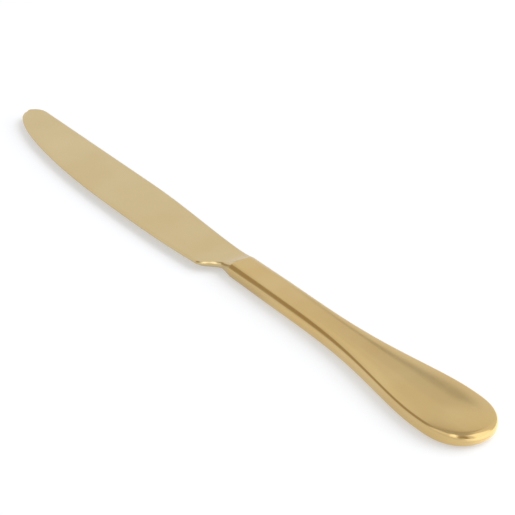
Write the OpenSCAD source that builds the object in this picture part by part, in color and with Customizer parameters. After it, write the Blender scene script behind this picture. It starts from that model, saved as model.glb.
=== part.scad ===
// Table knife lying on its side: a forged blade with bolster and tang, set in a hollow handle
// of two pressed halves. Lengths are in millimetres. X runs from the tip of the blade to the
// butt, Z is up from the table, and the cutting edge faces -Y. The origin is on the table,
// under the middle of the handle.

/* [Overall] */
// Length from the tip of the blade to the mouth of the handle
blade_len = 131; // [110:1:150]
// Length from the mouth of the handle to the butt
handle_len = 100.5; // [88:0.5:115]
// Thickness of the handle, up from the table
handle_t = 4.95; // [4.9:0.05:6.5]

/* [Handle outline] */
// Width of the handle at its neck
neck_w = 9.3; // [8.4:0.1:11]
// Greatest width of the handle, near the butt
handle_w = 19.4; // [15:0.1:24]
// Length of the even neck behind the mouth
neck_len = 23.5; // [10:0.5:35]
// Length of the rounded butt, from the widest place to the end
butt_len = 15.1; // [9:0.1:20]

/* [Handle section] */
// Height of the side wall above the seam, at the neck
neck_wall_h = 2.4; // [2.1:0.05:2.45]
// Height of the side wall above the seam, at the butt
butt_wall_h = 1.75; // [1.5:0.05:2.2]
// Length over which the side wall gets lower, from the mouth
wall_fall = 66; // [40:1:80]
// How far the side wall bulges out at the seam, at the neck
neck_bulge = 0.22; // [0.1:0.02:0.4]
// How far the side wall bulges out at the seam, at the butt
butt_bulge = 0.1; // [0.06:0.02:0.3]
// Rounding between the side wall and the broad face, at the neck
neck_round = 1.75; // [1.1:0.05:1.85]
// Rounding between the side wall and the broad face, at the butt
butt_round = 0.7; // [0.4:0.05:1]
// Rounding between the side wall and the broad face, at the very end
end_round = 1.6; // [0.8:0.05:1.65]
// Reach of the rounding over the face at the mouth, as a share of its reach down the wall
spread_share = 1.55; // [1:0.05:1.6]
// Length over which that spread fades, from the mouth
spread_fall = 18; // [8:1:40]
// Width of the flat strip along the middle of each broad face
strip_w = 3; // [2.4:0.1:3.6]
// Thickness of the pressed sheet
sheet_t = 0.8; // [0.5:0.05:0.9]
// Least rounding inside the handle
inner_r = 0.2; // [0.1:0.05:0.4]

/* [Blade outline] */
// Height of the spine above the handle's axis
spine_y = 6.8; // [5.5:0.1:9]
// Depth of the belly below the handle's axis
belly_y = 10.9; // [9:0.1:14]
// Height of the tip above the handle's axis
tip_y = 2.5; // [1:0.1:4]
// Length of the spine's rounded corner at the tip
tip_corner = 5; // [3:0.5:12]
// Length from the tip to the deepest place of the belly
belly_len = 72; // [55:1:85]
// Length over which the spine falls to the neck
spine_fall = 56; // [30:1:65]
// Depth of the edge below the handle's axis, at the heel
heel_y = 9.3; // [7:0.1:11]
// Length of the bolster's neck between the mouth and the heel
neck_stub = 3.5; // [2.5:0.1:7]
// Width of the bolster's neck at the foot of its cove
waist_w = 8.7; // [8:0.1:11]
// Length along the blade that the heel's slant takes
heel_len = 6.5; // [3:0.1:10]

/* [Blade section] */
// Thickness of the spine at the heel
spine_t = 1.9; // [1.4:0.1:2.6]
// Thickness of the spine at the tip
tip_t = 1.2; // [0.8:0.1:1.6]
// Thickness left at the cutting edge
edge_t = 0.3; // [0.15:0.05:0.5]
// Width of the ground bevel along the cutting edge
bevel_w = 0.8; // [0.4:0.1:2]
// Thickness of the blade where the bevel starts
bevel_t = 0.6; // [0.5:0.05:0.9]
// Thickness of the unground edge at the heel
heel_t = 1.4; // [0.9:0.1:1.6]
// Length of the run-out of the bevel, ahead of the heel's slant
run_out = 6; // [2:0.5:12]
// Length of the bolster's cove, from the flat of the blade up to the mouth
cove_len = 10; // [7:0.5:13]

/* [Inside the handle] */
// Length of the bolster's spigot in the mouth
spigot_len = 6; // [3:0.5:10]
// Length of the tang beyond the spigot
tang_len = 44; // [25:1:46]
// Length of the balance weight
weight_len = 28; // [12:1:30]
// Distance from the butt to the balance weight
weight_back = 10; // [8:0.5:14]
// Least length of cement between the tang and the balance weight
tang_gap = 4; // [2:0.5:10]

/* [Joints] */
// Thickness of the braze in the handle's seam
seam_t = 0.1; // [0.06:0.02:0.2]
// Thickness of the braze between the bolster and the mouth
mouth_t = 0.12; // [0.06:0.02:0.2]
// Clearance of each piece inside the handle
fit = 0.03; // [0.02:0.01:0.06]

/* [Hidden] */
// Power of the handle's swell: above 1, it stays slim for longer
swell_power = 1.68;
// Powers of the rounded butt, along and across the handle
butt_power = [2.8, 2.15];
// Power of the spine's fall to the neck
fall_power = 1.1;
// Power of the edge's rise from the belly to the heel
rise_power = 3;
// Power of the bolster's cove: above 1, it is hollow
cove_power = 3;
// Power of the rounding's growth round the butt: above 1, it comes late
end_power = 2;
// Most of the wall's height and the face's width that the rounding may take, as a share
round_share = 0.95;
// Rounding of the spine, as a share of the blade's half width
spine_round_share = 0.025;
// Width of the tang at its root and its end, as shares of the spigot's width
tang_w_shares = [0.9, 0.6];
// Thickness of the tang, as a share of the spigot's thickness
tang_t_share = 0.6;
// Width and thickness of the balance weight, as shares of the room at its front end
weight_shares = [0.8, 0.85];
// Steps along the handle, round the butt, and along the bolster, blade and tip
side_steps = 26;
end_steps = 26;
bolster_steps = 22;
blade_steps = 22;
tip_steps = 20;
// Where the last section of the tip stands, as a share of its step
last_share = 0.4;
// Steps up the side wall, round the corner and over the broad face
wall_steps = 3;
corner_steps = 6;
face_steps = 5;
// How far a cutter passes through the face that it opens
cut = 1;
// Facets of the balance weight's round ends
weight_facets = 64;

mouth_x = -handle_len/2;
seam_z = handle_t/2;
swell_len = handle_len - butt_len - neck_len;
belly_x = blade_len - belly_len;
inner_reach = max(inner_r, neck_round - sheet_t)*spread_share;
spigot_half_w = neck_w/2 - neck_bulge - sheet_t - inner_reach - fit;
spigot_half_t = wall_h(spigot_len) - sheet_t - fit;
weight_x = handle_len - weight_back - weight_len;
tang_end = min(spigot_len + tang_len, weight_x - tang_gap);

function mix(a, b, t) = a + (b - a)*t;
function clip(t) = max(0, min(1, t));
function ease(t) = clip(t)*clip(t)*(3 - 2*clip(t));

// Half width of the handle at x behind the mouth, ahead of the butt
function handle_half(x) =
    mix(neck_w, handle_w, ease(pow(clip((x - neck_len)/swell_len), swell_power)))/2;

// How far along from the neck's section to the butt's
function along(x) = ease(x/wall_fall);
function wall_h(x) = mix(neck_wall_h, butt_wall_h, along(x));
function wall_bulge(x) = mix(neck_bulge, butt_bulge, along(x));
function at_end(x) = ease(pow(clip(1 - (handle_len - x)/butt_len), end_power));
function full_rounding(x) = mix(mix(neck_round, butt_round, along(x)), end_round, at_end(x));
function rounding(x, inset) = max(inner_r, min(full_rounding(x), round_share*wall_h(x)) - inset);
function spread(x) = mix(spread_share, 1, ease(x/spread_fall));

// Outline of the handle from one side of the mouth round the butt to the other, drawn in by
// inset and starting at x0. Each entry is [point, aim]: the aim is where its section ends,
// on the edge of the flat strip.
function side_points(x0, inset) = [
    for (i = [0:side_steps])
        let (x = mix(x0, handle_len - butt_len, i/side_steps))
        [[x, handle_half(x) - inset], [x, strip_w/2]]
];

function end_points(inset) = [
    for (i = [1:end_steps - 1])
        let (
            a = 90 - 180*i/end_steps,
            sx = pow(abs(cos(a)), 2/butt_power[0]),
            sy = pow(abs(sin(a)), 2/butt_power[1])*sign(a),
            x = handle_len - butt_len
        )
        [
            [x + (butt_len - inset)*sx, (handle_w/2 - inset)*sy],
            [x + strip_w/2*cos(a), strip_w/2*sin(a)]
        ]
];

function flip(p) = [[p[0][0], -p[0][1]], [p[1][0], -p[1][1]]];

function outline(x0, inset) =
    let (s = side_points(x0, inset))
    concat(s, end_points(inset), [for (i = [side_steps:-1:0]) flip(s[i])]);

// Side wall and broad face of a handle's section, at share t of each. They meet in a corner at
// the top of the wall. Each point is [distance in from the outline, height above the seam].
function wall_at(t, bulge, h) = [bulge*t*t, h*t];
function face_at(t, bulge, h, reach, top) =
    [mix(bulge, reach, t), mix(h, top, 1 - (1 - t)*(1 - t))];

// Section of the handle at x, drawn in by inset, with its corner rounded. reach is the
// distance from the outline to the flat strip.
function section(x, inset, reach, low) =
    let (
        r = rounding(x, inset),
        h = wall_h(x) - inset,
        b = wall_bulge(x),
        top = handle_t/2 - inset,
        wall_end = 1 - r/h,
        face_start = min(round_share, r*spread(x)/(reach - b)),
        from = wall_at(wall_end, b, h),
        corner = [b, h],
        to = face_at(face_start, b, h, reach, top)
    )
    concat(
        [[0, low]],
        [for (i = [1:wall_steps]) wall_at(wall_end*i/wall_steps, b, h)],
        [for (i = [1:corner_steps])
            let (t = i/corner_steps)
            mix(mix(from, corner, t), mix(corner, to, t), t)],
        [for (i = [1:face_steps])
            face_at(mix(face_start, 1, i/face_steps), b, h, reach, top)]
    );

rings = wall_steps + corner_steps + face_steps + 1;

// Faces of a closed body are listed clockwise as seen from outside.
// Skin between neighbouring rows of points, cols to a row
function skin(rows, cols) = [
    for (i = [0:rows - 2], j = [0:cols - 2], k = [0, 1])
        let (a = i*cols + j, b = a + cols)
        k == 0 ? [a, b + 1, a + 1] : [a, b, b + 1]
];

// Rungs across a body that mirrors itself, between column col of opposite rows
function ladder(rows, cols, col) = [
    for (i = [0:floor(rows/2) - 1], k = [0, 1])
        let (
            a = i*cols + col,
            b = a + cols,
            d = (rows - 1 - i)*cols + col,
            c = d - cols
        )
        if (k == 0 || b != c) k == 0 ? [a, b, d] : [b, c, d]
];

// Fan from a middle point to each edge of a loop
function fan(middle, edge) = [
    for (i = [0:len(edge) - 1]) [middle, edge[i], edge[(i + 1)%len(edge)]]
];

function turned(faces) = [for (f = faces) [f[0], f[2], f[1]]];

// Upper half of a handle-shaped body, above the seam
module half_body(x0, inset, low) {
    path = outline(x0, inset);
    n = len(path);
    points = [
        for (p = path)
            let (reach = norm(p[1] - p[0]), d = (p[1] - p[0])/reach)
            for (q = section(p[0][0], inset, reach, low))
                let (at = p[0] + d*q[0])
                [at[0], at[1], q[1]]
    ];
    mouth = concat(
        [for (j = [0:rings - 1]) j],
        [for (j = [rings - 1:-1:0]) (n - 1)*rings + j]
    );
    polyhedron(
        points = concat(points, [[x0, 0, (low + wall_h(0))/2]]),
        faces = concat(
            skin(n, rings),
            ladder(n, rings, rings - 1),
            turned(ladder(n, rings, 0)),
            fan(n*rings, mouth)
        ),
        convexity = 6
    );
}

module half_shell() {
    translate([mouth_x, 0, 0])
        difference() {
            half_body(0, 0, seam_t/2);
            half_body(-cut, sheet_t, -cut);
        }
}

// Height of the bolster's cove at u ahead of the mouth, as a share from the flat of the blade
// to the mouth, and half the width of its neck
function cove(u) = pow(clip(1 - (u - mouth_t)/cove_len), cove_power);
function waist(u) = mix(waist_w, neck_w, cove(u))/2;

// Far side of the blade's outline, at u ahead of the mouth
function far_y(u) =
    let (c = blade_len - tip_corner, t = clip((u - c)/tip_corner))
    u > c
        ? tip_y + (spine_y - tip_y)*sqrt(1 - t*t)
        : mix(spine_y, waist(u), ease(pow(clip(1 - (u - neck_stub)/spine_fall), fall_power)));

// Near side, along the belly and the tip
function belly(u) =
    let (t = clip((u - belly_x)/belly_len), s = clip((belly_x - u)/(belly_x - neck_stub - heel_len)))
    u > belly_x
        ? tip_y - (tip_y + belly_y)*sqrt(1 - t*t)
        : -mix(belly_y, heel_y, pow(s, rise_power));

function near_y(u) = mix(-waist(u), belly(u), ease((u - neck_stub)/heel_len));

// How much of the ground edge there is at u: none on the heel's slant, all beyond the run-out
function ground(u) = ease((u - neck_stub - heel_len/2)/run_out);

// Half the thickness of the blade's face at share t from its edge to its spine
function face_half(u, t) =
    mix(mix(heel_t, bevel_t, ground(u)), mix(spine_t, tip_t, clip(u/blade_len)), t)/2;

// One quarter of the blade's section, at u ahead of the mouth: from the outline at the
// middle plane, over the side to the flat strip. side is 1 for the spine, -1 for the edge.
// Towards the mouth it turns into the handle's section.
function quarter(u, side) =
    let (
        half = (far_y(u) - near_y(u))/2,
        mid = (far_y(u) + near_y(u))/2,
        reach = half*(1 - strip_w/neck_w),
        neck = section(0, 0, reach, 0),
        r = half*spine_round_share,
        bevel = min(bevel_w, half/2),
        ground_t = mix(heel_t, edge_t, ground(u)),
        k = cove(u)
    )
    [for (i = [0:rings - 1])
        let (
            up = clip(i/wall_steps),
            turn = clip((i - wall_steps)/corner_steps),
            over = clip((i - wall_steps - corner_steps)/face_steps),
            rim = side > 0 ? r*(1 - cos(90*turn)) : bevel*turn,
            inset = mix(rim, reach, over),
            t = inset/half/2,
            face = face_half(u, side > 0 ? 1 - t : t),
            z = side > 0 ? face - r*(1 - sin(90*turn)) : mix(ground_t/2, face, turn)
        )
        [mid + side*(half - mix(inset, neck[i][0], k)), mix(up*z, neck[i][1], k)]
    ];

// Whole section from its two upper quarters
function loop(a, b) =
    let (m = rings - 1)
    concat(
        a,
        [for (i = [m:-1:0]) b[i]],
        [for (i = [1:m]) [b[i][0], -b[i][1]]],
        [for (i = [m:-1:1]) [a[i][0], -a[i][1]]]
    );

stations = concat(
    [for (i = [0:bolster_steps - 1]) mix(mouth_t, neck_stub + heel_len, i/bolster_steps)],
    [for (i = [0:blade_steps - 1]) mix(neck_stub + heel_len, blade_len - 2*tip_corner, i/blade_steps)],
    [for (i = [0:tip_steps - 1]) blade_len - 2*tip_corner*(1 - sin(90*(i + last_share)/tip_steps))]
);

module blade_body() {
    n = len(stations);
    m = 4*rings - 2;
    points = [for (u = stations, p = loop(quarter(u, 1), quarter(u, -1))) [-u, p[0], p[1]]];
    skin = [
        for (i = [0:n - 2], j = [0:m - 1], k = [0, 1])
            let (a = i*m + j, b = i*m + (j + 1)%m)
            k == 0 ? [a, b, b + m] : [a, b + m, a + m]
    ];
    polyhedron(
        points = concat(points, [
            [-stations[0], 0, 0],
            [-stations[n - 1], tip_y, 0]
        ]),
        faces = concat(
            skin,
            turned(fan(n*m, [for (j = [0:m - 1]) j])),
            fan(n*m + 1, [for (j = [0:m - 1]) (n - 1)*m + j])
        ),
        convexity = 6
    );
}

module spigot(extra) {
    translate([-mouth_t - cut, -spigot_half_w - extra, -spigot_half_t - extra])
        cube([spigot_len + mouth_t + cut + extra, 2*(spigot_half_w + extra), 2*(spigot_half_t + extra)]);
}

module tang(extra) {
    a = spigot_half_w*tang_w_shares[0] + extra;
    b = spigot_half_w*tang_w_shares[1] + extra;
    t = spigot_half_t*tang_t_share + extra;
    translate([0, 0, -t])
        linear_extrude(2*t)
            polygon([
                [0, -a], [tang_end + extra, -b],
                [tang_end + extra, b], [0, a]
            ]);
}

module weight(extra) {
    half_w = (handle_half(weight_x) - sheet_t - wall_bulge(weight_x) - inner_r)*weight_shares[0];
    half_t = (wall_h(weight_x) - sheet_t)*weight_shares[1] + extra;
    for (x = [half_w, weight_len - half_w])
        translate([weight_x + x, 0, -half_t])
            cylinder(h = 2*half_t, r = half_w + extra, $fn = weight_facets);
    translate([weight_x + half_w, -half_w - extra, -half_t])
        cube([weight_len - 2*half_w, 2*(half_w + extra), 2*half_t]);
}

module handle_frame() {
    translate([mouth_x, 0, seam_z])
        children();
}

module blade() {
    color("goldenrod")
        handle_frame() {
            blade_body();
            spigot(0);
            tang(0);
        }
}

module handle_shell_upper() {
    color("gold")
        translate([0, 0, seam_z])
            half_shell();
}

module handle_shell_lower() {
    color("gold")
        translate([0, 0, seam_z])
            mirror([0, 0, 1])
                half_shell();
}

module seam_braze() {
    color("darkgoldenrod")
        handle_frame()
            translate([0, 0, -seam_t/2])
                linear_extrude(seam_t)
                    difference() {
                        polygon([for (p = outline(0, 0)) p[0]]);
                        polygon([for (p = outline(-cut, sheet_t)) p[0]]);
                    }
}

module mouth_braze() {
    color("darkgoldenrod")
        handle_frame()
            difference() {
                mouth_plate();
                spigot(fit);
            }
}

module mouth_plate() {
    q = section(0, 0, neck_w/2 - strip_w/2, 0);
    rotate([90, 0, 90])
        translate([0, 0, -mouth_t])
            linear_extrude(mouth_t)
                polygon(loop(
                    [for (p = q) [neck_w/2 - p[0], p[1]]],
                    [for (p = q) [p[0] - neck_w/2, p[1]]]
                ));
}

module tang_cement() {
    color("lightgray")
        handle_frame()
            difference() {
                for (k = [0, 1])
                    mirror([0, 0, k])
                        half_body(spigot_len + fit, sheet_t + fit, 0);
                tang(fit);
                weight(fit);
            }
}

module balance_weight() {
    color("gray")
        handle_frame()
            weight(0);
}

blade();
handle_shell_upper();
handle_shell_lower();
seam_braze();
mouth_braze();
tang_cement();
balance_weight();
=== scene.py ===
# Gold-coloured table knife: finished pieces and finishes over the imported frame.
# The dictionaries hold millimetres, as the part does. Meshes are made in metres.
import math
import bmesh
import bpy
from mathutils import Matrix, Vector


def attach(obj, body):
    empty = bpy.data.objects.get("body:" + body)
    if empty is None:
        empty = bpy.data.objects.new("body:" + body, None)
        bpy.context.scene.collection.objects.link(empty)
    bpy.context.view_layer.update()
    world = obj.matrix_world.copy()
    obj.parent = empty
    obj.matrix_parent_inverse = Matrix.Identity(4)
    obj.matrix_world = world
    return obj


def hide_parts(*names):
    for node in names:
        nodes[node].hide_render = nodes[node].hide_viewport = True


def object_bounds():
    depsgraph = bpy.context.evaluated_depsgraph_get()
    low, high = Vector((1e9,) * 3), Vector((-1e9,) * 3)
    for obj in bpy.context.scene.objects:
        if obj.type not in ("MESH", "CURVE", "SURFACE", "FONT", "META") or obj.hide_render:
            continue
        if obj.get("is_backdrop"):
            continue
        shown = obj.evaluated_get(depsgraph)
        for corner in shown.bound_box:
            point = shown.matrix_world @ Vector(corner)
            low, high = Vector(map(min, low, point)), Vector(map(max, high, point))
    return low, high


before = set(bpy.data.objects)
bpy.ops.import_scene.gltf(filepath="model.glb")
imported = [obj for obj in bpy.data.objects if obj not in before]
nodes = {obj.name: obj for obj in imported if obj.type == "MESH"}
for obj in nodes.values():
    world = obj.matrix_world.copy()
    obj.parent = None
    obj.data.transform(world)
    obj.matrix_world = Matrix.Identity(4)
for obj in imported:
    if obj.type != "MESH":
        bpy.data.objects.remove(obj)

cadLow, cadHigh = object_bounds()
scene = bpy.context.scene
mm = 0.001
sharpAngle = math.radians(30)


def mix(a, b, t):
    return a + (b - a)*t


def clip(t):
    return max(0.0, min(1.0, t))


def ease(t):
    t = clip(t)
    return t*t*(3 - 2*t)


def hexToLinear(code):
    # sRGB hex such as "D8C08E" to a linear colour with alpha
    channels = [int(code[i:i + 2], 16)/255 for i in (0, 2, 4)]
    return tuple(c/12.92 if c <= 0.04045 else ((c + 0.055)/1.055)**2.4 for c in channels) + (1.0,)


def addPiece(name, points, faces, stands, finish):
    # Closed mesh from millimetre points, shaded smooth but for its sharp corners
    mesh = bpy.data.meshes.new(name)
    mesh.from_pydata([(x*mm, y*mm, z*mm) for x, y, z in points], [], faces)
    work = bmesh.new()
    work.from_mesh(mesh)
    bmesh.ops.recalc_face_normals(work, faces=work.faces)
    work.to_mesh(mesh)
    work.free()
    mesh.shade_smooth()
    mesh.set_sharp_from_angle(angle=sharpAngle)
    mesh.materials.append(finish)
    piece = bpy.data.objects.new(name, mesh)
    scene.collection.objects.link(piece)
    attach(piece, "root")
    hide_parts(stands)
    return piece


def skin(rows, cols, start=0, closed=False):
    # Quads between neighbouring rows of points, cols to a row
    last = cols if closed else cols - 1
    faces = []
    for i in range(rows - 1):
        for j in range(last):
            a = start + i*cols + j
            b = start + i*cols + (j + 1)%cols
            faces.append((a, b, b + cols, a + cols))
    return faces


# Finishes


def newFinish(name):
    finish = bpy.data.materials.new(name)
    finish.use_nodes = True
    finish.node_tree.nodes.clear()
    return finish, finish.node_tree


def addNode(tree, kind, links=None, inputs=None, **settings):
    # One node with its settings, its fixed inputs and what is linked into it
    node = tree.nodes.new(kind)
    for key, value in settings.items():
        setattr(node, key, value)
    for key, value in (inputs or {}).items():
        node.inputs[key].default_value = value
    for key, source in (links or {}).items():
        tree.links.new(source, node.inputs[key])
    return node


def addRange(tree, value, source, target):
    # Maps the source pair of values onto the target pair
    return addNode(
        tree, "ShaderNodeMapRange", {"Value": value},
        {"From Min": source[0], "From Max": source[1], "To Min": target[0], "To Max": target[1]},
    ).outputs["Result"]


perMm = 1/mm  # a noise scale that gives features of one millimetre

# Titanium nitride on polished stainless steel. The steel is buffed lengthwise before the
# coat goes on: the eye sees a soft mirror, a hair of grain along the knife, faint clouds
# where the coat is thinner, and paler metal where edges have rubbed on other cutlery.
bladeCoat = {
    "colour": "D8C08E",
    "thinCoat": "DCC696",
    "rubbedEdge": "E3D3AA",
    "roughness": (0.16, 0.21),  # from buffed bright to buffed dull
    "buffLine": 0.25,  # mm apart, about five times coarser than real so that it shows
    "buffLength": 14.0,  # mm
    "buffDepth": 0.0012,  # mm
    "cloud": 16.0,  # mm
    "smudge": 5.0,  # mm
}
handleCoat = {
    "colour": "D9BA7E",
    "thinCoat": "DDC188",
    "rubbedEdge": "E6D0A0",
    "roughness": (0.15, 0.20),
    "buffLine": 0.25,
    "buffLength": 10.0,
    "buffDepth": 0.001,
    "cloud": 13.0,
    "smudge": 4.0,
}
brazeCoat = {
    "colour": "D6B880",
    "thinCoat": "D2B277",
    "rubbedEdge": "E0C893",
    "roughness": (0.20, 0.26),
    "buffLine": 0.2,
    "buffLength": 3.0,
    "buffDepth": 0.001,
    "cloud": 4.0,
    "smudge": 1.5,
}
# Where in a pattern, which runs from 0 to 1, each change sets in and is complete
coatLook = {
    "thins": (0.35, 0.75),
    "corner": (0.54, 0.66),  # pointiness of an edge that rubs
    "cornerRubs": 0.7,
    "buffing": (0.3, 0.7),
    "smudged": (0.45, 0.75),
    "smudgeDulls": 0.03,  # added roughness
}


def goldCoat(name, coat):
    finish, tree = newFinish(name)
    place = addNode(tree, "ShaderNodeTexCoord").outputs["Object"]
    along = addNode(
        tree, "ShaderNodeMapping", {"Vector": place},
        {"Scale": (coat["buffLine"]/coat["buffLength"], 1, 1)},
    )
    buffing = addNode(
        tree, "ShaderNodeTexNoise", {"Vector": along.outputs["Vector"]},
        {"Scale": perMm/coat["buffLine"], "Detail": 3.0, "Roughness": 0.6},
    ).outputs["Fac"]
    cloud = addNode(
        tree, "ShaderNodeTexNoise", {"Vector": place},
        {"Scale": perMm/coat["cloud"], "Detail": 2.0, "Roughness": 0.5},
    ).outputs["Fac"]
    smudge = addNode(
        tree, "ShaderNodeTexNoise", {"Vector": place},
        {"Scale": perMm/coat["smudge"], "Detail": 4.0, "Roughness": 0.65, "Distortion": 0.6},
    ).outputs["Fac"]
    body = addNode(tree, "ShaderNodeValToRGB", {"Fac": cloud})
    ends = zip(body.color_ramp.elements, coatLook["thins"], ("colour", "thinCoat"))
    for element, position, colour in ends:
        element.position = position
        element.color = hexToLinear(coat[colour])
    pointiness = addNode(tree, "ShaderNodeNewGeometry").outputs["Pointiness"]
    corner = addRange(tree, pointiness, coatLook["corner"], (0.0, coatLook["cornerRubs"]))
    rubbed = addNode(
        tree, "ShaderNodeMath", {0: corner, 1: smudge}, operation="MULTIPLY", use_clamp=True,
    ).outputs["Value"]
    worn = addNode(
        tree, "ShaderNodeMix", {"Factor": rubbed, 6: body.outputs["Color"]},
        {7: hexToLinear(coat["rubbedEdge"])}, data_type="RGBA",
    )
    satin = addRange(tree, buffing, coatLook["buffing"], coat["roughness"])
    touched = addRange(tree, smudge, coatLook["smudged"], (0.0, coatLook["smudgeDulls"]))
    gloss = addNode(tree, "ShaderNodeMath", {0: satin, 1: touched}, operation="ADD")
    grain = addNode(
        tree, "ShaderNodeBump", {"Height": buffing},
        {"Strength": 1.0, "Distance": coat["buffDepth"]*mm},
    )
    metal = addNode(
        tree, "ShaderNodeBsdfPrincipled",
        {
            "Base Color": worn.outputs[2],
            "Roughness": gloss.outputs["Value"],
            "Normal": grain.outputs["Normal"],
        },
        {"Metallic": 1.0},
    )
    addNode(tree, "ShaderNodeOutputMaterial", {"Surface": metal.outputs["BSDF"]})
    return finish


# Mineral-filled resin cement, poured and set in the handle: dull, off-white, with grit
# and flecks of filler and a few pores.
cementMix = {
    "paste": "B4AFA3",
    "paleGrit": "D6D2C8",
    "darkGrit": "7E786C",
    "grit": 0.45,  # mm across
    "pore": 0.9,
    "poreDepth": 0.15,
    "poreStrength": 0.8,
    "darkUpTo": 0.1,  # share of the grains
    "paleFrom": 0.86,
    "roughness": 0.88,
}


def castCement(name, mixture):
    finish, tree = newFinish(name)
    place = addNode(tree, "ShaderNodeTexCoord").outputs["Object"]
    grit = addNode(
        tree, "ShaderNodeTexVoronoi", {"Vector": place},
        {"Scale": perMm/mixture["grit"], "Randomness": 1.0},
    )
    shade = addNode(tree, "ShaderNodeSeparateColor", {"Color": grit.outputs["Color"]})
    tone = addNode(tree, "ShaderNodeValToRGB", {"Fac": shade.outputs["Red"]})
    tone.color_ramp.interpolation = "CONSTANT"
    tone.color_ramp.elements[0].color = hexToLinear(mixture["darkGrit"])
    tone.color_ramp.elements[1].position = mixture["paleFrom"]
    tone.color_ramp.elements[1].color = hexToLinear(mixture["paleGrit"])
    tone.color_ramp.elements.new(mixture["darkUpTo"]).color = hexToLinear(mixture["paste"])
    pore = addNode(
        tree, "ShaderNodeTexNoise", {"Vector": place},
        {"Scale": perMm/mixture["pore"], "Detail": 3.0, "Roughness": 0.6},
    ).outputs["Fac"]
    surface = addNode(
        tree, "ShaderNodeBump", {"Height": pore},
        {"Strength": mixture["poreStrength"], "Distance": mixture["poreDepth"]*mm},
    )
    cement = addNode(
        tree, "ShaderNodeBsdfPrincipled",
        {"Base Color": tone.outputs["Color"], "Normal": surface.outputs["Normal"]},
        {"Roughness": mixture["roughness"], "Metallic": 0.0},
    )
    addNode(tree, "ShaderNodeOutputMaterial", {"Surface": cement.outputs["BSDF"]})
    return finish


# Cold-drawn mild steel bar, left as drawn: grey, with draw lines along it and darker
# patches of oxide.
slugSteel = {
    "bright": "9C9A96",
    "oxide": "6A6662",
    "roughness": (0.32, 0.5),
    "drawLine": 0.15,  # mm
    "drawLength": 5.0,
    "drawDepth": 0.003,
    "patch": 3.5,
    "oxidised": (0.42, 0.66),  # where in the patches the oxide starts and is full
    "dulled": (0.4, 0.65),
}


def drawnSteel(name, steel):
    finish, tree = newFinish(name)
    place = addNode(tree, "ShaderNodeTexCoord").outputs["Object"]
    along = addNode(
        tree, "ShaderNodeMapping", {"Vector": place},
        {"Scale": (steel["drawLine"]/steel["drawLength"], 1, 1)},
    )
    lines = addNode(
        tree, "ShaderNodeTexNoise", {"Vector": along.outputs["Vector"]},
        {"Scale": perMm/steel["drawLine"], "Detail": 2.0, "Roughness": 0.6},
    ).outputs["Fac"]
    patch = addNode(
        tree, "ShaderNodeTexNoise", {"Vector": place},
        {"Scale": perMm/steel["patch"], "Detail": 5.0, "Roughness": 0.6},
    ).outputs["Fac"]
    tone = addNode(tree, "ShaderNodeValToRGB", {"Fac": patch})
    ends = zip(tone.color_ramp.elements, steel["oxidised"], ("bright", "oxide"))
    for element, position, colour in ends:
        element.position = position
        element.color = hexToLinear(steel[colour])
    gloss = addRange(tree, patch, steel["dulled"], steel["roughness"])
    groove = addNode(
        tree, "ShaderNodeBump", {"Height": lines},
        {"Strength": 1.0, "Distance": steel["drawDepth"]*mm},
    )
    metal = addNode(
        tree, "ShaderNodeBsdfPrincipled",
        {
            "Base Color": tone.outputs["Color"],
            "Roughness": gloss,
            "Normal": groove.outputs["Normal"],
        },
        {"Metallic": 1.0},
    )
    addNode(tree, "ShaderNodeOutputMaterial", {"Surface": metal.outputs["BSDF"]})
    return finish


bladeGold = goldCoat("titaniumNitrideOnForgedSteel", bladeCoat)
handleGold = goldCoat("titaniumNitrideOnPressedSheet", handleCoat)
brazeGold = goldCoat("titaniumNitrideOnSilverBraze", brazeCoat)
cementGrey = castCement("mineralFilledCement", cementMix)
slugGrey = drawnSteel("drawnMildSteel", slugSteel)
print("finishes made")

# Handle: two pressed halves

handle = {
    "length": 100.5,
    "thickness": 4.95,
    "neckWidth": 9.3,
    "width": 19.4,
    "neckLength": 23.5,
    "buttLength": 15.1,
    "swellPower": 1.68,  # above 1, most of the swell comes late
    "buttPowers": (2.8, 2.15),  # of the superellipse, along and across
    "neckWall": 2.4,
    "buttWall": 1.75,
    "wallFall": 66.0,  # length over which the wall, bulge and rounding change
    "neckBulge": 0.22,
    "buttBulge": 0.1,
    "neckRound": 1.75,
    "spreadShare": 1.55,  # at the mouth, the rounding's reach over the face to that down the wall
    "spreadFall": 18.0,
    "roundShare": 0.95,  # of the face, the most that the rounding takes
    "buttRound": 0.7,
    "endRound": 1.6,
    "endPower": 2.0,
    "innerRound": 0.2,
    "strip": 3.0,  # flat along the middle
    "sheet": 0.8,
    "seam": 0.1,
    "sideSteps": 110,
    "endSteps": 96,
    "wallSteps": 8,
    "cornerSteps": 14,
    "faceSteps": 16,
}
mouthX = -handle["length"]/2
seamZ = handle["thickness"]/2
ringSize = handle["wallSteps"] + handle["cornerSteps"] + handle["faceSteps"] + 1


def handleHalf(x):
    swell = handle["length"] - handle["buttLength"] - handle["neckLength"]
    t = clip((x - handle["neckLength"])/swell)**handle["swellPower"]
    return mix(handle["neckWidth"], handle["width"], ease(t))/2


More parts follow.
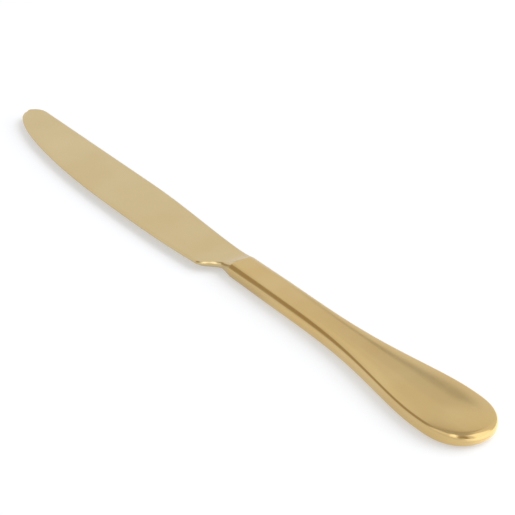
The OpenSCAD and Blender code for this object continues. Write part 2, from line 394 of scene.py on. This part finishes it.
def handleSection(x, inset, reach, low):
    # From the seam up the wall, round the corner and over the face: (distance in, height)
    along = ease(x/handle["wallFall"])
    wall = mix(handle["neckWall"], handle["buttWall"], along) - inset
    nearEnd = clip(1 - (handle["length"] - x)/handle["buttLength"])
    sideRound = mix(handle["neckRound"], handle["buttRound"], along)
    rounding = mix(sideRound, handle["endRound"], ease(nearEnd**handle["endPower"])) - inset
    rounding = max(handle["innerRound"], rounding)
    bulge = mix(handle["neckBulge"], handle["buttBulge"], along)
    top = handle["thickness"]/2 - inset

    def wallAt(t):
        return (bulge*t*t, wall*t)

    def faceAt(t):
        return (mix(bulge, reach, t), mix(wall, top, 1 - (1 - t)**2))

    wallEnd = 1 - rounding/wall
    spread = mix(handle["spreadShare"], 1, ease(x/handle["spreadFall"]))
    faceStart = min(handle["roundShare"], rounding*spread/(reach - bulge))
    a, corner, b = wallAt(wallEnd), (bulge, wall), faceAt(faceStart)
    section = [(0.0, low)]
    for i in range(1, handle["wallSteps"] + 1):
        section.append(wallAt(wallEnd*i/handle["wallSteps"]))
    for i in range(1, handle["cornerSteps"] + 1):
        t = i/handle["cornerSteps"]
        section.append(tuple(
            mix(mix(a[k], corner[k], t), mix(corner[k], b[k], t), t) for k in (0, 1)
        ))
    for i in range(1, handle["faceSteps"] + 1):
        section.append(faceAt(mix(faceStart, 1, i/handle["faceSteps"])))
    return section


def handlePath(inset):
    # Outline from the mouth round the butt and back: (point, aim on the flat strip)
    strip = handle["strip"]/2
    endX = handle["length"] - handle["buttLength"]
    path = []
    for i in range(handle["sideSteps"] + 1):
        x = endX*i/handle["sideSteps"]
        path.append(((x, handleHalf(x) - inset), (x, strip)))
    for i in range(1, handle["endSteps"]):
        a = math.pi/2 - math.pi*i/handle["endSteps"]
        sx = abs(math.cos(a))**(2/handle["buttPowers"][0])
        sy = math.copysign(abs(math.sin(a))**(2/handle["buttPowers"][1]), math.sin(a))
        path.append((
            (endX + (handle["buttLength"] - inset)*sx, (handle["width"]/2 - inset)*sy),
            (endX + strip*math.cos(a), strip*math.sin(a)),
        ))
    for (x, y), (ax, ay) in reversed(path[:handle["sideSteps"] + 1]):
        path.append(((x, -y), (ax, -ay)))
    return path


def halfSkin(inset, low):
    points = []
    for point, aim in handlePath(inset):
        reach = math.dist(point, aim)
        d = ((aim[0] - point[0])/reach, (aim[1] - point[1])/reach)
        for s, z in handleSection(point[0], inset, reach, low):
            points.append((point[0] + d[0]*s, point[1] + d[1]*s, z))
    return points


def stripLadder(rows, start):
    # Closes the flat strip between the last points of opposite rows
    faces = []
    for i in range(rows//2):
        near = [start + k*ringSize + ringSize - 1 for k in (i, i + 1)]
        far = [start + k*ringSize + ringSize - 1 for k in (rows - 2 - i, rows - 1 - i)]
        faces.append(tuple(near + far) if near[1] != far[0] else (near[0], near[1], far[1]))
    return faces


def handleShell(name, stands, side):
    outer = halfSkin(0, handle["seam"]/2)
    inner = halfSkin(handle["sheet"], handle["seam"]/2)
    rows = len(outer)//ringSize
    start = len(outer)
    faces = skin(rows, ringSize) + skin(rows, ringSize, start)
    faces += stripLadder(rows, 0) + stripLadder(rows, start)
    for i in range(rows - 1):
        a, b = i*ringSize, (i + 1)*ringSize
        faces.append((a, b, start + b, start + a))
    lastRow = (rows - 1)*ringSize
    for row in (0, lastRow):
        for j in range(ringSize - 1):
            a = row + j
            faces.append((a, a + 1, start + a + 1, start + a))
    a, b = ringSize - 1, lastRow + ringSize - 1
    faces.append((a, b, start + b, start + a))
    points = [(mouthX + x, y, seamZ + side*z) for x, y, z in outer + inner]
    return addPiece(name, points, faces, stands, handleGold)


upperShell = handleShell("handleUpperShell", "handle_shell_upper", 1)
handleShell("handleLowerShell", "handle_shell_lower", -1)
print("handle shells made:", len(upperShell.data.polygons), "faces each")

# Braze in the seam, polished flush with the walls


def seamBraze():
    outer = [p for p, _ in handlePath(0)]
    inner = [p for p, _ in handlePath(handle["sheet"])]
    half = handle["seam"]/2
    points = []
    for (ox, oy), (ix, iy) in zip(outer, inner):
        for x, y, z in ((ox, oy, -half), (ox, oy, half), (ix, iy, half), (ix, iy, -half)):
            points.append((mouthX + x, y, seamZ + z))
    last = len(points) - 4
    faces = skin(len(outer), 4, closed=True) + [(0, 1, 2, 3), (last, last + 1, last + 2, last + 3)]
    return addPiece("seamBraze", points, faces, "seam_braze", brazeGold)


seamBraze()

# Blade: one forging with its heel, coved bolster, spigot and tang

blade = {
    "length": 131.0,
    "spineY": 6.8,
    "bellyY": 10.9,
    "tipY": 2.5,
    "tipCorner": 5.0,
    "bellyLength": 72.0,
    "spineFall": 56.0,
    "fallPower": 1.1,
    "heelY": 9.3,
    "risePower": 3.0,
    "neckStub": 3.5,
    "waist": 8.7,
    "heelLength": 6.5,
    "spine": 1.9,
    "tip": 1.2,
    "edge": 0.3,
    "bevelWidth": 0.8,
    "bevel": 0.6,
    "heel": 1.4,
    "heelChamfer": (0.3, 0.42),  # in from the side, down from the face
    "runOut": 6.0,
    "coveLength": 10.0,
    "covePower": 3.0,
    "spineRoundShare": 0.025,
    "mouthGap": 0.12,
    "spigotLength": 6.0,
    "tangLength": 44.0,
    "tangWidthShares": (0.9, 0.6),
    "tangThickShare": 0.6,
    "tangStop": 58.5,  # four millimetres of cement ahead of the balance weight
    "fit": 0.03,
    "bolsterSteps": 90,
    "bladeSteps": 80,
    "tipSteps": 70,
    "tipOffset": 0.4,  # of a step, so that the last ring stays just short of the tip
}


def coveAt(u):
    return clip(1 - (u - blade["mouthGap"])/blade["coveLength"])**blade["covePower"]


def waistHalf(u):
    return mix(blade["waist"], handle["neckWidth"], coveAt(u))/2


def farY(u):
    t = clip((u - blade["length"] + blade["tipCorner"])/blade["tipCorner"])
    if t > 0:
        return blade["tipY"] + (blade["spineY"] - blade["tipY"])*math.sqrt(1 - t*t)
    fall = clip(1 - (u - blade["neckStub"])/blade["spineFall"])
    return mix(blade["spineY"], waistHalf(u), ease(fall**blade["fallPower"]))


def bellyLine(u):
    bellyX = blade["length"] - blade["bellyLength"]
    if u > bellyX:
        t = clip((u - bellyX)/blade["bellyLength"])
        return blade["tipY"] - (blade["tipY"] + blade["bellyY"])*math.sqrt(1 - t*t)
    s = clip((bellyX - u)/(bellyX - blade["neckStub"] - blade["heelLength"]))
    return -mix(blade["bellyY"], blade["heelY"], s**blade["risePower"])


def nearY(u):
    return mix(-waistHalf(u), bellyLine(u), ease((u - blade["neckStub"])/blade["heelLength"]))


def bladeQuarter(u, side):
    # From the outline at the middle plane over to the flat strip: side 1 spine, -1 edge
    half = (farY(u) - nearY(u))/2
    middle = (farY(u) + nearY(u))/2
    reach = half*(1 - handle["strip"]/handle["neckWidth"])
    neck = handleSection(0, 0, reach, 0)
    rounding = half*blade["spineRoundShare"]
    ground = ease((u - blade["neckStub"] - blade["heelLength"]/2)/blade["runOut"])
    chamferWidth, chamferDrop = blade["heelChamfer"]
    slopeWidth = mix(chamferWidth, min(blade["bevelWidth"], half/2), ground)
    edge = mix(blade["heel"], blade["edge"], ground)
    edgeFace = mix(blade["heel"], blade["bevel"], ground)
    spineFace = mix(blade["spine"], blade["tip"], clip(u/blade["length"]))
    cove = coveAt(u)
    quarter = []
    for i in range(ringSize):
        up = clip(i/handle["wallSteps"])
        turn = clip((i - handle["wallSteps"])/handle["cornerSteps"])
        over = clip((i - handle["wallSteps"] - handle["cornerSteps"])/handle["faceSteps"])
        quarterTurn = math.pi/2*turn
        rim = rounding*(1 - math.cos(quarterTurn)) if side > 0 else slopeWidth*turn
        inset = mix(rim, reach, over)
        t = inset/half/2
        face = mix(edgeFace, spineFace, 1 - t if side > 0 else t)/2
        if side > 0:
            z = face - rounding*(1 - math.sin(quarterTurn))
        else:
            z = mix(mix(face - chamferDrop, edge/2, ground), face, turn)
        quarter.append((
            middle + side*(half - mix(inset, neck[i][0], cove)),
            mix(up*z, neck[i][1], cove),
        ))
    return quarter


def wholeLoop(a, b):
    # Closed section from its two upper quarters
    loop = list(a) + list(reversed(b))
    loop += [(y, -z) for y, z in b[1:]]
    loop += [(y, -z) for y, z in reversed(a[1:])]
    return loop


def barLoop(around, halfW, halfT):
    # Rectangle with one point for each of a loop's, its corners kept
    loop = []
    for y, z in around:
        s = min(halfW/abs(y) if y else math.inf, halfT/abs(z) if z else math.inf)
        loop.append((y*s, z*s))
    for cy in (-halfW, halfW):
        for cz in (-halfT, halfT):
            nearest = min(range(len(loop)), key=lambda k: math.dist(loop[k], (cy, cz)))
            loop[nearest] = (cy, cz)
    return loop


innerReach = (handle["neckRound"] - handle["sheet"])*handle["spreadShare"]
spigotHalfW = handle["neckWidth"]/2 - handle["neckBulge"] - handle["sheet"] - innerReach - blade["fit"]
spigotAlong = ease(blade["spigotLength"]/handle["wallFall"])
spigotWall = mix(handle["neckWall"], handle["buttWall"], spigotAlong)
spigotHalfT = spigotWall - handle["sheet"] - blade["fit"]
mouthReach = handle["neckWidth"]/2 - handle["strip"]/2
mouthQuarter = handleSection(0, 0, mouthReach, 0)
mouthLoop = wholeLoop(
    [(handle["neckWidth"]/2 - s, z) for s, z in mouthQuarter],
    [(s - handle["neckWidth"]/2, z) for s, z in mouthQuarter],
)


def bladeForging():
    heelEnd = blade["neckStub"] + blade["heelLength"]
    tipStart = blade["length"] - 2*blade["tipCorner"]
    stations = []
    for start, end, steps in (
        (blade["mouthGap"], heelEnd, blade["bolsterSteps"]),
        (heelEnd, tipStart, blade["bladeSteps"]),
    ):
        stations += [mix(start, end, i/steps) for i in range(steps)]
    for i in range(blade["tipSteps"]):
        turn = math.pi/2*(i + blade["tipOffset"])/blade["tipSteps"]
        stations.append(blade["length"] - 2*blade["tipCorner"]*(1 - math.sin(turn)))
    rings = []
    for u in reversed(stations):
        rings.append((-u, wholeLoop(bladeQuarter(u, 1), bladeQuarter(u, -1))))
    tangEnd = min(blade["spigotLength"] + blade["tangLength"], blade["tangStop"])
    spigot = barLoop(mouthLoop, spigotHalfW, spigotHalfT)
    tangHalfT = spigotHalfT*blade["tangThickShare"]
    rootShare, endShare = blade["tangWidthShares"]
    rings.append((-blade["mouthGap"], spigot))
    rings.append((blade["spigotLength"], spigot))
    share = mix(rootShare, endShare, blade["spigotLength"]/tangEnd)
    rings.append((blade["spigotLength"], barLoop(mouthLoop, spigotHalfW*share, tangHalfT)))
    rings.append((tangEnd, barLoop(mouthLoop, spigotHalfW*endShare, tangHalfT)))
    cols = len(mouthLoop)
    points = [(mouthX + x, y, seamZ + z) for x, ring in rings for y, z in ring]
    faces = skin(len(rings), cols, closed=True)
    points.append((mouthX + rings[0][0], blade["tipY"], seamZ))
    points.append((mouthX + tangEnd, 0, seamZ))
    first, last = len(points) - 2, (len(rings) - 1)*cols
    for j in range(cols):
        faces.append((first, j, (j + 1)%cols))
        faces.append((first + 1, last + (j + 1)%cols, last + j))
    return addPiece("bladeForging", points, faces, "blade", bladeGold)


bladePiece = bladeForging()
print("blade made:", len(bladePiece.data.polygons), "faces")


def mouthBraze():
    hole = barLoop(mouthLoop, spigotHalfW + blade["fit"], spigotHalfT + blade["fit"])
    cols = len(mouthLoop)
    points = []
    for x, ring in ((-blade["mouthGap"], mouthLoop), (0, mouthLoop), (0, hole), (-blade["mouthGap"], hole)):
        points += [(mouthX + x, y, seamZ + z) for y, z in ring]
    faces = skin(4, cols, closed=True)
    for j in range(cols):
        a, b = j, (j + 1)%cols
        faces.append((3*cols + a, 3*cols + b, b, a))
    return addPiece("mouthBraze", points, faces, "mouth_braze", brazeGold)


mouthBraze()

for name, finish in (("tang_cement", cementGrey), ("balance_weight", slugGrey)):
    node = nodes[name]
    node.data.materials.clear()
    node.data.materials.append(finish)

# Stage: pale floor, soft studio light, camera

# The eye sees the table white all over. In the metal it shows a painted glow, seen only by
# glossy rays, that stands in for the light and shade on the table: a little grey, with painted
# shade toward the camera and beside the neck, and a painted pool of light beyond the butt, where
# the window stands. Each change: bearing, start and end in mm from the origin, and the level beyond.
table = {
    "halfSize": 3.0,  # metres
    "colour": "F3F6FB",  # a little cool, as the room's light on it is warm
    "whiteForCamera": 0.42,  # share of plain white, the rest is the lit table
    # The share and levels below set the painted glow: light and shade painted on the table for the metal's
    # reflections
    "paintedGlowShare": 0.6,  # the rest is the lit table with the knife's shadow
    "paintedGlowLevel": 0.95,
    "paintedGlowChanges": [
        (270, 6, 24, 0.6),
        (180, 24, 46, 0.7),
        (55, 23, 36, 2.0),
    ],
}


def addFloor():
    s = table["halfSize"]
    mesh = bpy.data.meshes.new("floor")
    mesh.from_pydata([(-s, -s, 0), (s, -s, 0), (s, s, 0), (-s, s, 0)], [], [(0, 1, 2, 3)])
    floor = bpy.data.objects.new("floor", mesh)
    scene.collection.objects.link(floor)
    finish, tree = newFinish("whiteTable")
    sight = addNode(tree, "ShaderNodeLightPath")
    forCamera = addNode(
        tree, "ShaderNodeMath", {0: sight.outputs["Is Camera Ray"]}, {1: table["whiteForCamera"]},
        operation="MULTIPLY",
    ).outputs[0]
    place = addNode(tree, "ShaderNodeTexCoord").outputs["Object"]
    level = addNode(tree, "ShaderNodeValue").outputs[0]
    level.default_value = table["paintedGlowLevel"]
    # painted light and shade on the table, by position, seen only in the metal
    for bearing, start, end, strength in table["paintedGlowChanges"]:
        b = math.radians(bearing)
        direction = (math.cos(b), math.sin(b), 0)
        reach = addNode(
            tree, "ShaderNodeVectorMath", {0: place}, {1: direction}, operation="DOT_PRODUCT",
        ).outputs["Value"]
        share = addNode(
            tree, "ShaderNodeMapRange", {"Value": reach}, {"From Min": start*mm, "From Max": end*mm},
            interpolation_type="SMOOTHSTEP",
        ).outputs["Result"]
        level = addNode(
            tree, "ShaderNodeMix", {"Factor": share, "A": level}, {"B": strength}, data_type="FLOAT",
        ).outputs[0]
    lit = addNode(tree, "ShaderNodeBsdfDiffuse", None, {"Color": hexToLinear(table["colour"])})
    white = addNode(tree, "ShaderNodeEmission", None, {"Strength": 1.0})
    toEye = addNode(tree, "ShaderNodeMixShader", {0: forCamera, 1: lit.outputs[0], 2: white.outputs[0]})
    # painted reflection: the table glows for glossy rays with the painted light and shade set above
    paintedGlow = addNode(tree, "ShaderNodeEmission", {"Strength": level})
    inMetal = addNode(
        tree, "ShaderNodeMixShader", {1: lit.outputs[0], 2: paintedGlow.outputs[0]},
        {0: table["paintedGlowShare"]},
    )
    surface = addNode(
        tree, "ShaderNodeMixShader",
        {0: sight.outputs["Is Glossy Ray"], 1: toEye.outputs[0], 2: inMetal.outputs[0]},
    )
    addNode(tree, "ShaderNodeOutputMaterial", {"Surface": surface.outputs[0]})
    mesh.materials.append(finish)
    floor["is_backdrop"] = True


addFloor()

# The room round the table, as the metal shows it: dim and warm, with white panels. Each
# panel: bearing of its middle and half its width, height of its middle and half its height,
# soft rim, all in degrees, and its level. Bearings run from +X towards +Y.
studio = {
    "room": "B3A692",
    "panels": [
        (0, 200, 75, 20, 8, 0.52),  # ceiling
        (250, 95, 0, 9, 9, 0.62),  # far edge of the table, on the camera's side
        (85, 30, 22, 45, 6, 0.92),  # pale wall behind the spine
        (140, 42, 18.8, 30, 4, 0.87),  # broad panel across the table
        (168, 16, 48, 7, 4, 0.8),  # four small panels above it, and a dim gap
        (138, 4, 33, 3, 2.5, 0.78),
        (146, 8, 40, 3.5, 2.5, 0.79),
        (155, 6, 42, 4, 3, 0.93),
        (134, 4.5, 28.5, 4, 2, 0.46),
        (28, 28, 20, 47, 5, 1.55),  # window beyond the butt
        (355, 9, 12, 50, 4, 0.95),  # wall beside it
        (266, 21, 18, 38, 6, 0.94),  # panel beyond the tip, and the lamp beside it
        (300, 11, 10, 60, 3, 1.3),
        (301, 10, 42, 20, 4, 1.75),
    ],
}


def addStudio():
    world = bpy.data.worlds.new("studio")
    scene.world = world
    world.use_nodes = True
    tree = world.node_tree
    tree.nodes.clear()
    toward = addNode(tree, "ShaderNodeTexCoord").outputs["Generated"]
    up = addNode(tree, "ShaderNodeSeparateXYZ", {"Vector": toward}).outputs["Z"]
    height = addNode(tree, "ShaderNodeMath", {0: up}, operation="ARCSINE").outputs[0]
    light = addNode(tree, "ShaderNodeRGB").outputs[0]
    light.default_value = hexToLinear(studio["room"])
    for bearing, halfWidth, middle, halfHeight, rim, strength in studio["panels"]:
        b = math.radians(bearing)
        ahead = addNode(
            tree, "ShaderNodeVectorMath", {0: toward}, {1: (math.cos(b), math.sin(b), 0)},
            operation="DOT_PRODUCT",
        ).outputs["Value"]
        aside = addNode(
            tree, "ShaderNodeVectorMath", {0: toward}, {1: (-math.sin(b), math.cos(b), 0)},
            operation="DOT_PRODUCT",
        ).outputs["Value"]
        turn = addNode(tree, "ShaderNodeMath", {0: aside, 1: ahead}, operation="ARCTAN2").outputs[0]
        off = addNode(tree, "ShaderNodeMath", {0: height}, {1: math.radians(middle)}, operation="SUBTRACT")
        inside = []
        for angle, half in ((turn, halfWidth), (off.outputs[0], halfHeight)):
            size = addNode(tree, "ShaderNodeMath", {0: angle}, operation="ABSOLUTE").outputs[0]
            inside.append(addNode(
                tree, "ShaderNodeMapRange", {"Value": size},
                {
                    "From Min": math.radians(half - rim), "From Max": math.radians(half + rim),
                    "To Min": 1.0, "To Max": 0.0,
                },
                interpolation_type="SMOOTHSTEP",
            ).outputs["Result"])
        share = addNode(
            tree, "ShaderNodeMath", {0: inside[0], 1: inside[1]}, operation="MULTIPLY",
        ).outputs[0]
        light = addNode(
            tree, "ShaderNodeMix", {"Factor": share, 6: light}, {7: (strength, strength, strength, 1)},
            data_type="RGBA",
        ).outputs[2]
    sight = addNode(tree, "ShaderNodeLightPath").outputs["Is Camera Ray"]
    seen = addNode(
        tree, "ShaderNodeMix", {"Factor": sight, 6: light}, {7: (1, 1, 1, 1)}, data_type="RGBA",
    ).outputs[2]
    sky = addNode(tree, "ShaderNodeBackground", {"Color": seen})
    addNode(tree, "ShaderNodeOutputWorld", {"Surface": sky.outputs[0]})


addStudio()

# Broad soft lamp behind the knife: the soft grey shadow on the camera's side comes from it
softLamp = {
    "bearing": 62.0,  # degrees
    "height": 42.0,
    "distance": 1.2,  # metres
    "size": 1.5,
    "power": 10.2,  # watts
}


def addLamp():
    light = bpy.data.lights.new("softLamp", "AREA")
    light.shape = "DISK"
    light.size = softLamp["size"]
    light.energy = softLamp["power"]
    lamp = bpy.data.objects.new("softLamp", light)
    scene.collection.objects.link(lamp)
    az, el = math.radians(softLamp["bearing"]), math.radians(softLamp["height"])
    away = Vector((math.cos(el)*math.cos(az), math.cos(el)*math.sin(az), math.sin(el)))
    lamp.location = away*softLamp["distance"]
    lamp.rotation_euler = away.to_track_quat("Z", "Y").to_euler()
    lamp.visible_glossy = False


addLamp()
print("stage made")

cameraSet = {
    "target": (-55.9, 9.383, 0.0),
    "distance": 450.0,
    "azimuth": -35.59,  # degrees
    "elevation": 29.29,
    "lens": 108.856,
    "sensor": 36.0,
    "nearest": 10.0,  # nothing closer is drawn
}


def addCamera():
    lens = bpy.data.cameras.new("photoCamera")
    lens.lens = cameraSet["lens"]
    lens.sensor_width = cameraSet["sensor"]
    lens.clip_start = cameraSet["nearest"]*mm
    camera = bpy.data.objects.new("photoCamera", lens)
    scene.collection.objects.link(camera)
    target = Vector(cameraSet["target"])*mm
    az, el = math.radians(cameraSet["azimuth"]), math.radians(cameraSet["elevation"])
    back = Vector((math.cos(el)*math.cos(az), math.cos(el)*math.sin(az), math.sin(el)))
    camera.location = target + back*cameraSet["distance"]*mm
    camera.rotation_euler = (-back).to_track_quat("-Z", "Y").to_euler()
    scene.camera = camera


addCamera()
scene.view_settings.view_transform = "Standard"

low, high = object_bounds()
growth = [round((b - a)/mm, 3) for a, b in zip([*cadLow, *cadHigh], [*low, *high])]
print("visual box minus CAD box, mm:", growth)
